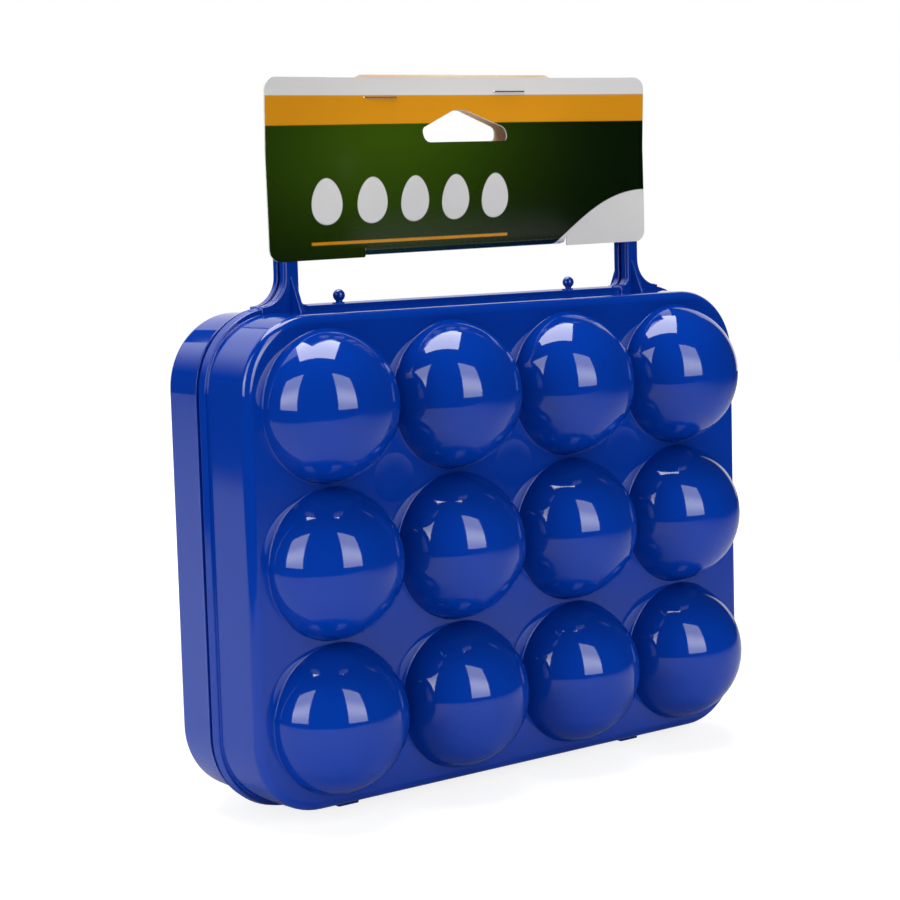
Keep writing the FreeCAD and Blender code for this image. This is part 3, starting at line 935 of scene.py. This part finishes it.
def within(point, loops):
    """True if a point lies inside the first loop and outside the others."""
    crossings = 0
    for loop in loops:
        x, s = loop.T
        next_x, next_s = np.roll(loop, -1, axis=0).T
        spans = (s > point[1]) != (next_s > point[1])
        with np.errstate(divide="ignore", invalid="ignore"):
            meet = x + (point[1] - s) * (next_x - x) / (next_s - s)
        crossings += int(np.count_nonzero(spans & (meet > point[0])))
    return crossings % 2 == 1


def wire_mesh(skin, path, radius, sides=12):
    """A round wire along a path of points, capped at both ends."""
    path = np.asarray(path, float)
    ahead = unit(np.gradient(path, axis=0))
    angle = np.arange(sides) / sides * 2 * math.pi
    side = np.array([0.0, 0.0, 1.0])
    rings, normals = [], []
    for spot, way in zip(path, ahead):
        a = unit(np.cross(way, side))
        b = np.cross(a, way)
        round_way = np.outer(np.cos(angle), a) + np.outer(np.sin(angle), b)
        rings.append(spot + radius * round_way)
        normals.append(round_way)
    skin.grid(np.array(rings), np.array(normals), True)
    skin.polygon(rings[0], -ahead[0])
    skin.polygon(rings[-1], ahead[-1])


def staple(name, node, sizes, material, body):
    """A wire staple through both layers of the card, its ends clinched behind."""
    low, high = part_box(node)
    radius = sizes.staple_wire / 2
    middle_x, middle_z = (low.x + high.x) / 2, (low.z + high.z) / 2
    half = (high.x - low.x) / 2 - radius
    front, back = low.y + radius, high.y - radius
    corner, tip = 0.5 * MM, 0.4 * MM
    stops = np.array([(-tip, back), (-half, back), (-half, front),
                      (half, front), (half, back), (tip, back)])
    path = [stops[0]]
    for a, b, c in zip(stops[:-2], stops[1:-1], stops[2:]):
        start, end = b + unit(a - b) * corner, b + unit(c - b) * corner
        path += [(1 - t) ** 2 * start + 2 * t * (1 - t) * b + t * t * end for t in np.linspace(0, 1, 6)]
    path.append(stops[-1])
    rise = math.tan(sizes.turn)
    skin = Skin()
    wire_mesh(skin, [[middle_x + x, y, middle_z + x * rise] for x, y in path], radius)
    finish_piece(skin.build(name, material), body, [node])


# Materials


class Nodes:
    """Short words for building a node tree."""

    def __init__(self, tree):
        self.tree = tree

    def add(self, kind, **values):
        """A new node with some of its settings."""
        node = self.tree.nodes.new(kind)
        for key, value in values.items():
            setattr(node, key, value)
        return node

    def join(self, source, target):
        """A link between two sockets."""
        self.tree.links.new(source, target)

    def feed(self, socket, value):
        """Links a socket, or sets it where the value is plain."""
        if hasattr(value, "is_linked"):
            self.join(value, socket)
        else:
            socket.default_value = value

    def math(self, operation, *values):
        """The result of a sum."""
        node = self.add("ShaderNodeMath", operation=operation)
        for socket, value in zip(node.inputs, values):
            self.feed(socket, value)
        return node.outputs[0]

    def ramp(self, value, low, high, to_low=0.0, to_high=1.0, smooth=True):
        """A value between two limits, spread between two others and held beyond them."""
        node = self.add("ShaderNodeMapRange", interpolation_type="SMOOTHSTEP" if smooth else "LINEAR")
        for socket, item in zip(node.inputs, (value, low, high, to_low, to_high)):
            self.feed(socket, item)
        return node.outputs[0]

    def mix(self, factor, a, b):
        """A colour between two others."""
        node = self.add("ShaderNodeMix", data_type="RGBA")
        sockets = [s for s in node.inputs if s.enabled]
        for socket, item in zip(sockets, (factor, a, b)):
            self.feed(socket, item)
        return [s for s in node.outputs if s.enabled][0]

    def choose(self, factor, a, b):
        """One shader or the other."""
        node = self.add("ShaderNodeMixShader")
        for socket, item in zip(node.inputs, (factor, a, b)):
            self.join(item, socket)
        return node.outputs[0]

    def along(self, where, way):
        """How far places lie along a direction."""
        node = self.add("ShaderNodeVectorMath", operation="DOT_PRODUCT")
        node.inputs[1].default_value = way
        self.join(where, node.inputs[0])
        return node.outputs["Value"]

    def noise(self, vector, scale, detail, roughness=0.5):
        """The value of a noise texture."""
        node = self.add("ShaderNodeTexNoise")
        self.feed(node.inputs["Scale"], scale)
        node.inputs["Detail"].default_value = detail
        node.inputs["Roughness"].default_value = roughness
        self.join(vector, node.inputs["Vector"])
        return node.outputs["Fac"]


def full(rgb):
    """A colour with full alpha."""
    return (rgb[0], rgb[1], rgb[2], 1.0)


def moulded_surface_group():
    """Slow waves, a fine skin and faint scuffs of a moulded surface."""
    group = bpy.data.node_groups.new("moulded_surface", "ShaderNodeTree")
    face = group.interface
    for name, value in (("Wave scale", 60.0), ("Wave height", 1.0), ("Grain scale", 900.0),
                        ("Grain height", 0.05), ("Roughness", 0.05), ("Scuff", 0.02)):
        socket = face.new_socket(name, in_out="INPUT", socket_type="NodeSocketFloat")
        socket.default_value = value
    for name in ("Height", "Roughness"):
        face.new_socket(name, in_out="OUTPUT", socket_type="NodeSocketFloat")
    n = Nodes(group)
    given = n.add("NodeGroupInput").outputs
    result = n.add("NodeGroupOutput").inputs
    where = n.add("ShaderNodeTexCoord").outputs["Object"]
    waves = n.math("MULTIPLY", n.noise(where, given["Wave scale"], 1.0), given["Wave height"])
    grain = n.math("MULTIPLY", n.noise(where, given["Grain scale"], 3.0), given["Grain height"])
    n.join(n.math("ADD", waves, grain), result["Height"])
    scuff_scale = 35.0
    scuffs = n.ramp(n.noise(where, scuff_scale, 6.0, 0.65), 0.55, 0.8)
    n.join(n.math("MULTIPLY_ADD", scuffs, given["Scuff"], given["Roughness"]), result["Roughness"])
    return group


def surface(material, group, wave, grain, roughness, scuff, depth):
    """Places the moulded surface in a material and feeds its roughness and normal.

    Wave and grain each give a scale and a height, as a share of the depth."""
    n = Nodes(material.node_tree)
    shader = material.node_tree.nodes["Principled BSDF"]
    skin = n.add("ShaderNodeGroup", node_tree=group)
    values = {"Wave scale": wave[0], "Wave height": wave[1], "Grain scale": grain[0],
              "Grain height": grain[1], "Roughness": roughness, "Scuff": scuff}
    for name, value in values.items():
        skin.inputs[name].default_value = value
    bump = n.add("ShaderNodeBump")
    bump.inputs["Strength"].default_value = 1.0
    bump.inputs["Distance"].default_value = depth
    n.join(skin.outputs["Height"], bump.inputs["Height"])
    n.join(bump.outputs["Normal"], shader.inputs["Normal"])
    n.join(skin.outputs["Roughness"], shader.inputs["Roughness"])


def new_material(name):
    """A material with its shader."""
    material = bpy.data.materials.new(name)
    material.use_nodes = True
    return material, material.node_tree.nodes["Principled BSDF"]


def plastic_material(look, group):
    """Glossy moulded plastic."""
    material, shader = new_material("glossy_blue_plastic")
    shader.inputs["Base Color"].default_value = full(look.plastic)
    shader.inputs["IOR"].default_value = 1.5
    surface(material, group, wave=(55.0, 1.0), grain=(1500.0, 0.01),
            roughness=look.plastic_roughness, scuff=0.03, depth=0.03 * MM)


def print_material(look, card, group):
    """The card's glossy print: margin, stripe, green field with a glow, a row of eggs and a sweep."""
    material, shader = new_material("glossy_card_print")
    n = Nodes(material.node_tree)
    split = n.add("ShaderNodeSeparateXYZ")
    n.join(n.add("ShaderNodeUVMap", uv_map="print_sheet").outputs["UV"], split.inputs[0])
    shape = CardShape(card)
    sheet_top = (shape.top - shape.end) / (2 * card.half_width)

    # Places on the sheet, as shares of its width: u from the left and down from the upper edge
    u = split.outputs["X"]
    down = n.math("SUBTRACT", sheet_top, split.outputs["Y"])
    margin_end, stripe_end, front_end = 0.036, 0.094, 0.366
    glow_u, glow_down, narrow_u, narrow_down = 0.28, 0.13, 3.0, 5.0
    sweep_start, sweep_top, sweep_bend = 0.52, 0.245, 1.6
    egg_start, egg_step, egg_count, egg_down = 0.085, 0.105, 5, 0.245
    egg_half_height, egg_half_width, egg_taper = 0.046, 0.035, 0.16
    rule_left, rule_right, rule_top, rule_low = 0.10, 0.60, 0.325, 0.331
    blur, decay = 0.0012, 2.718

    def below(value, limit):
        return n.ramp(value, limit - blur, limit + blur, 1.0, 0.0)

    def above(value, limit):
        return n.ramp(value, limit - blur, limit + blur)

    def between(value, low, high):
        return n.math("MULTIPLY", above(value, low), below(value, high))

    def square_sum(a, b):
        return n.math("ADD", n.math("MULTIPLY", a, a), n.math("MULTIPLY", b, b))

    across = n.math("MULTIPLY", n.math("SUBTRACT", u, glow_u), narrow_u)
    along = n.math("MULTIPLY", n.math("SUBTRACT", down, glow_down), narrow_down)
    glow = n.math("POWER", decay, n.math("MULTIPLY", square_sum(across, along), -1.0))
    shade = n.mix(glow, full(look.field), full(look.glow))
    bow = n.math("MULTIPLY", n.math("POWER", n.math("SUBTRACT", 1.0, u), 2.0), sweep_bend)
    under_bow = n.math("SUBTRACT", down, n.math("ADD", bow, sweep_top))
    pale = n.math("MULTIPLY", above(under_bow, 0.0), above(u, sweep_start))
    shade = n.mix(pale, shade, full(look.margin))
    in_step = n.math("FLOORED_MODULO", n.math("SUBTRACT", u, egg_start), egg_step)
    local = n.math("SUBTRACT", in_step, egg_step / 2)
    tall = n.math("MULTIPLY", n.math("SUBTRACT", down, egg_down), 1 / egg_half_height)
    narrow = n.math("ADD", 1.0, n.math("MULTIPLY", tall, egg_taper))
    wide = n.math("DIVIDE", n.math("MULTIPLY", local, 1 / egg_half_width), narrow)
    egg = n.ramp(square_sum(tall, wide), 0.94, 1.06, 1.0, 0.0)
    counted = between(u, egg_start, egg_start + egg_count * egg_step)
    shade = n.mix(n.math("MULTIPLY", egg, counted), shade, full(look.margin))
    ruled = n.math("MULTIPLY", between(u, rule_left, rule_right), between(down, rule_top, rule_low))
    shade = n.mix(ruled, shade, full(look.stripe))
    shade = n.mix(between(down, margin_end, stripe_end), shade, full(look.stripe))
    shade = n.mix(below(down, margin_end), shade, full(look.margin))
    shade = n.mix(above(down, front_end), shade, full(look.field))
    n.join(shade, shader.inputs["Base Color"])
    shader.inputs["IOR"].default_value = 1.5
    surface(material, group, wave=(90.0, 1.0), grain=(2500.0, 0.06), roughness=0.08, scuff=0.03,
            depth=0.03 * MM)


def board_material(look, group):
    """The card's plain inner side, its colour lightened as painted light for the light that shines
    through the thin card.
    """
    material, shader = new_material("plain_card_board")
    shader.inputs["Base Color"].default_value = full(look.board)
    surface(material, group, wave=(90.0, 0.6), grain=(2500.0, 0.3), roughness=0.75, scuff=0.1,
            depth=0.06 * MM)


def card_edge_material(look):
    """The card's pale cut edge."""
    _, shader = new_material("cut_card_edge")
    shader.inputs["Base Color"].default_value = full(look.cut_edge)
    shader.inputs["Roughness"].default_value = 0.8


def steel_material(look, group):
    """Bright wire and pin."""
    material, shader = new_material("bright_steel")
    shader.inputs["Base Color"].default_value = full(look.steel)
    shader.inputs["Metallic"].default_value = 1.0
    surface(material, group, wave=(200.0, 0.2), grain=(4000.0, 0.1), roughness=0.22, scuff=0.1,
            depth=0.03 * MM)


def ready_material(name):
    """A material made before, or an error that says which is missing."""
    material = bpy.data.materials.get(name)
    if material is None:
        raise RuntimeError(f"make the finishes first: {name} is missing")
    return material


# Operators


class EGGCASE_OT_finishes(bpy.types.Operator):
    """Make the plastic, print, board and steel finishes"""

    bl_idname = "egg_case.finishes"
    bl_label = "Finishes"

    def execute(self, context):
        look = context.scene.egg_case_finishes
        group = moulded_surface_group()
        plastic_material(look, group)
        print_material(look, context.scene.egg_case_card, group)
        board_material(look, group)
        card_edge_material(look)
        steel_material(look, group)
        return {"FINISHED"}


class EGGCASE_OT_half_shells(bpy.types.Operator):
    """Build the front and rear half shells with their domed egg cups"""

    bl_idname = "egg_case.half_shells"
    bl_label = "Half shells"

    def execute(self, context):
        sizes = context.scene.egg_case_shell
        plastic = ready_material("glossy_blue_plastic")
        cups = [f"cup_r{row + 1}_c{column + 1}" for row in range(ROWS) for column in range(COLUMNS)]
        for word, side in (("front", FRONT), ("rear", REAR)):
            nodes = [f"{word}_frame"] + [f"{word}_{cup}" for cup in cups]
            half_shell(f"{word}_shell", sizes, side, side == FRONT, f"{word}_half", nodes, plastic)
        return {"FINISHED"}


class EGGCASE_OT_egg_ribs(bpy.types.Operator):
    """Build the crossed ribs that hold the eggs' ends"""

    bl_idname = "egg_case.egg_ribs"
    bl_label = "Egg ribs"

    def execute(self, context):
        sizes = context.scene.egg_case_shell
        plastic = ready_material("glossy_blue_plastic")
        for word, side in (("front", FRONT), ("rear", REAR)):
            egg_ribs(f"{word}_egg_ribs", sizes, side, f"{word}_half", plastic)
        return {"FINISHED"}


class EGGCASE_OT_handles(bpy.types.Operator):
    """Build the two halves of the handle and the standing pads"""

    bl_idname = "egg_case.handles"
    bl_label = "Handle and pads"

    def execute(self, context):
        sizes = context.scene.egg_case_handle
        shell = context.scene.egg_case_shell
        plastic = ready_material("glossy_blue_plastic")
        for word, side, pad_x in (("front", FRONT, sizes.front_pad_x), ("rear", REAR, sizes.rear_pad_x)):
            body = f"{word}_half"
            handle_half(f"{word}_bow", sizes, shell, side, body, f"{word}_handle", plastic)
            standing_pads(f"{word}_pads", sizes, shell, side, body, pad_x, plastic)
        return {"FINISHED"}


class EGGCASE_OT_hinge_and_catches(bpy.types.Operator):
    """Finish the hinge knuckles, the pin, the catch studs and their forks"""

    bl_idname = "egg_case.hinge_and_catches"
    bl_label = "Hinge and catches"

    def execute(self, context):
        plastic = ready_material("glossy_blue_plastic")
        steel = ready_material("bright_steel")
        for name, node in frame["nodes"].items():
            if node.hide_render:
                continue
            is_pin = name == "hinge_pin"
            node.data.materials.clear()
            node.data.materials.append(steel if is_pin else plastic)
        return {"FINISHED"}


class EGGCASE_OT_header_card(bpy.types.Operator):
    """Build the folded header card and its two staples"""

    bl_idname = "egg_case.header_card"
    bl_label = "Header card"

    def execute(self, context):
        sizes = context.scene.egg_case_card
        names = ("glossy_card_print", "plain_card_board", "cut_card_edge")
        header_card(sizes, [ready_material(name) for name in names], "front_half")
        steel = ready_material("bright_steel")
        for word in ("left", "right"):
            staple(f"{word}_staple", f"staple_{word}", sizes, steel, "front_half")
        return {"FINISHED"}


def stage_material(name):
    """A material with an empty node tree, and the words to fill it."""
    material = bpy.data.materials.new(name)
    material.use_nodes = True
    material.node_tree.nodes.clear()
    return material, Nodes(material.node_tree)


def light_panel(name, centre, across, up, radiance, shading=None):
    """A flat light that can't be seen itself, with its middle and two half sides.

    Shading names a generated axis and gives a row of (place, share of the radiance) along it."""
    mesh = bpy.data.meshes.new(name)
    corners = [centre - across - up, centre + across - up, centre + across + up, centre - across + up]
    mesh.from_pydata(corners, [], [(0, 1, 2, 3)])
    material, n = stage_material(name)
    glow = n.add("ShaderNodeEmission")
    glow.inputs["Strength"].default_value = radiance
    if shading:
        axis, stops = shading
        split = n.add("ShaderNodeSeparateXYZ")
        n.join(n.add("ShaderNodeTexCoord").outputs["Generated"], split.inputs[0])
        least = None
        for (start, low), (end, high) in zip(stops[:-1], stops[1:]):
            part = n.ramp(split.outputs[axis], start, end, low * radiance, high * radiance)
            least = part if least is None else n.math("MINIMUM", least, part)
        n.join(least, glow.inputs["Strength"])
    n.join(glow.outputs[0], n.add("ShaderNodeOutputMaterial").inputs["Surface"])
    mesh.materials.append(material)
    panel = place(bpy.data.objects.new(name, mesh))
    panel.visible_camera = False


class EGGCASE_OT_stage(bpy.types.Operator):
    """Set the white floor, the studio lights and the camera"""

    bl_idname = "egg_case.stage"
    bl_label = "Stage"

    def execute(self, context):
        look = context.scene.egg_case_stage
        scene = context.scene
        scene.view_settings.view_transform = "Standard"
        scene.view_settings.look = "None"
        right = Vector((0.789, -0.614, 0.0)).normalized()
        ahead = Vector((0.614, 0.789, 0.0)).normalized()
        self.floor(look, right, ahead)
        self.lights(look, right, ahead)
        self.world(scene)
        self.camera(scene, look)
        return {"FINISHED"}

    def floor(self, look, right, ahead):
        """A floor that is white to the eye with a painted shadow round the case, dimmer in the case's
        gloss and clear from below.
        """
        near, far, left_end, right_end = -0.48, 1.7, -1.66, 1.25
        shadow_near, shadow_far = 0.22, 0.40
        # Painted shade on the floor as the case sees it: where it dims to the right, how far, and its
        # dark slanted edge on the left
        dim_start, dim_end, dimmed = 0.12, 0.85, 0.1
        slant, dark_end, light_start, dark = 1.29, -0.82, -0.66, 0.05
        mesh = bpy.data.meshes.new("white_floor")
        corners = ((left_end, near), (right_end, near), (right_end, far), (left_end, far))
        mesh.from_pydata([right * x + ahead * y for x, y in corners], [], [(0, 1, 2, 3)])
        material, n = stage_material("white_floor")
        spot = n.add("ShaderNodeNewGeometry")
        where = spot.outputs["Position"]
        path = n.add("ShaderNodeLightPath")

        # To the camera: a glow that is dimmed round the case as painted shadow and whitens away from it,
        # and a share of the real light and shadow
        distance = n.add("ShaderNodeVectorMath", operation="LENGTH")
        n.join(where, distance.inputs[0])
        glow = n.add("ShaderNodeEmission")
        n.join(n.ramp(distance.outputs["Value"], shadow_near, shadow_far, look.painted_shadow_glow, 1.0),
               glow.inputs["Strength"])
        seen = n.add("ShaderNodeBsdfDiffuse")
        seen.inputs["Color"].default_value = full([look.floor_seen] * 3)
        bright = n.add("ShaderNodeAddShader")
        n.join(glow.outputs[0], bright.inputs[0])
        n.join(seen.outputs[0], bright.inputs[1])

        # To the case: a lit floor with painted shade that dims it to the right and darkens it past a
        # slanted edge on the left
        painted_floor_shade = n.math("MULTIPLY", n.ramp(n.along(where, right), dim_start, dim_end, 1.0, dimmed),
                      n.ramp(n.along(where, right + ahead * slant), dark_end, light_start, dark, 1.0))
        # Painted shade in the gloss: mirrored, the floor is darker than as it lights the case
        white = n.ramp(path.outputs["Is Diffuse Ray"], 0.0, 1.0, look.floor_lit, look.floor_bounce,
                       smooth=False)
        lit = n.add("ShaderNodeBsdfDiffuse")
        n.join(n.math("MULTIPLY", painted_floor_shade, white), lit.inputs["Color"])

        # From below it is clear, so that the underside and the hanging lid can be seen
        upper = n.choose(path.outputs["Is Camera Ray"], lit.outputs[0], bright.outputs[0])
        clear = n.add("ShaderNodeBsdfTransparent").outputs[0]
        n.join(n.choose(spot.outputs["Backfacing"], upper, clear),
               n.add("ShaderNodeOutputMaterial").inputs["Surface"])
        mesh.materials.append(material)
        place(bpy.data.objects.new("white_floor", mesh))

    def lights(self, look, right, ahead):
        """Two upright panels before the case, a box overhead, two pale bounces and a backdrop."""
        up = Vector((0, 0, 1))
        away, level = 1.25, 0.12
        low, high = level - 0.03 * away, level + 1.35 * away
        panel_shading = ("Z", ((0.0, 0.62), (0.28, 1.1), (0.6, 0.62)))
        for name, inner, outer in (("right_panel", 0.43, 1.34), ("left_panel", -0.675, -1.74)):
            middle = right * ((inner + outer) / 2 * away) - ahead * away + up * ((low + high) / 2)
            light_panel(name, middle, right * (abs(outer - inner) / 2 * away),
                        up * ((high - low) / 2), look.panel, panel_shading)
        light_panel("overhead_box", Vector((-0.026, 0.167, 1.15)), right * 0.385, ahead * 0.38,
                    look.overhead)
        light_panel("ceiling_bounce", right * -0.7 + ahead * 0.75 + up * 1.3, right * 0.92,
                    ahead * 0.75, look.bounce)
        light_panel("left_bounce", right * -1.62 + ahead * 0.75 + up * 0.85, ahead * 0.75,
                    up * 0.45, look.bounce, ("Z", ((0.0, 0.0), (1.0, 1.0))))
        light_panel("white_backdrop", ahead * 1.7 + up * 0.7, right * 1.1, up * 0.7, look.backdrop)

    def world(self, scene):
        """A surround that is white to the camera and nearly dark to the case."""
        world = bpy.data.worlds.new("white_surround")
        world.use_nodes = True
        world.node_tree.nodes.clear()
        n = Nodes(world.node_tree)
        glow = n.add("ShaderNodeBackground")
        glow.inputs["Color"].default_value = (1.0, 1.0, 1.0, 1.0)
        seen = n.add("ShaderNodeLightPath").outputs["Is Camera Ray"]
        n.join(n.ramp(seen, 0.0, 1.0, 0.02, 1.0, smooth=False), glow.inputs["Strength"])
        n.join(glow.outputs[0], n.add("ShaderNodeOutputWorld").inputs["Surface"])
        scene.world = world

    def camera(self, scene, look):
        """A camera before the case, to its left and slightly above."""
        data = bpy.data.cameras.new("camera")
        data.sensor_width = 36.0
        data.lens = look.lens
        data.clip_start = 0.01
        camera = place(bpy.data.objects.new("camera", data))
        eye = (-0.4443, -0.5604, 0.1866)
        forward = Vector((0.6101, 0.7845, -0.1108)).normalized()
        roll = math.radians(-1.6)
        right = forward.cross(Vector((0, 0, 1))).normalized()
        up = right.cross(forward)
        across = right * math.cos(roll) + up * math.sin(roll)
        over = up * math.cos(roll) - right * math.sin(roll)
        turned = Matrix((across, over, -forward)).transposed().to_4x4()
        camera.matrix_world = Matrix.Translation(eye) @ turned
        scene.camera = camera


class EGGCASE_PT_panel(bpy.types.Panel):
    """Buttons and sizes of the egg carrying case"""

    bl_idname = "EGGCASE_PT_panel"
    bl_label = "Egg case"
    bl_space_type = "VIEW_3D"
    bl_region_type = "UI"
    bl_category = "Egg case"

    def draw(self, context):
        for operator in OPERATORS:
            self.layout.operator(operator.bl_idname)
        for name in GROUPS:
            group = getattr(context.scene, name)
            box = self.layout.box()
            for key in group.__annotations__:
                box.prop(group, key)


GROUPS = {
    "egg_case_shell": ShellSizes,
    "egg_case_handle": HandleSizes,
    "egg_case_card": CardSizes,
    "egg_case_finishes": Finishes,
    "egg_case_stage": StageLook,
}
OPERATORS = (EGGCASE_OT_finishes, EGGCASE_OT_half_shells, EGGCASE_OT_egg_ribs, EGGCASE_OT_handles,
             EGGCASE_OT_header_card, EGGCASE_OT_hinge_and_catches, EGGCASE_OT_stage)


def register():
    """Makes the classes and the scene's settings known."""
    for item in (*GROUPS.values(), *OPERATORS, EGGCASE_PT_panel):
        bpy.utils.register_class(item)
    for name, group in GROUPS.items():
        setattr(bpy.types.Scene, name, PointerProperty(type=group))


def unregister():
    """Takes the classes and the scene's settings away again."""
    for name in GROUPS:
        delattr(bpy.types.Scene, name)
    for item in reversed((*GROUPS.values(), *OPERATORS, EGGCASE_PT_panel)):
        bpy.utils.unregister_class(item)


def main():
    """Builds every piece and the stage."""
    register()
    bpy.ops.egg_case.finishes()
    bpy.ops.egg_case.half_shells()
    bpy.ops.egg_case.egg_ribs()
    bpy.ops.egg_case.handles()
    bpy.ops.egg_case.header_card()
    bpy.ops.egg_case.hinge_and_catches()
    bpy.ops.egg_case.stage()


if __name__ == "__main__":
    main()
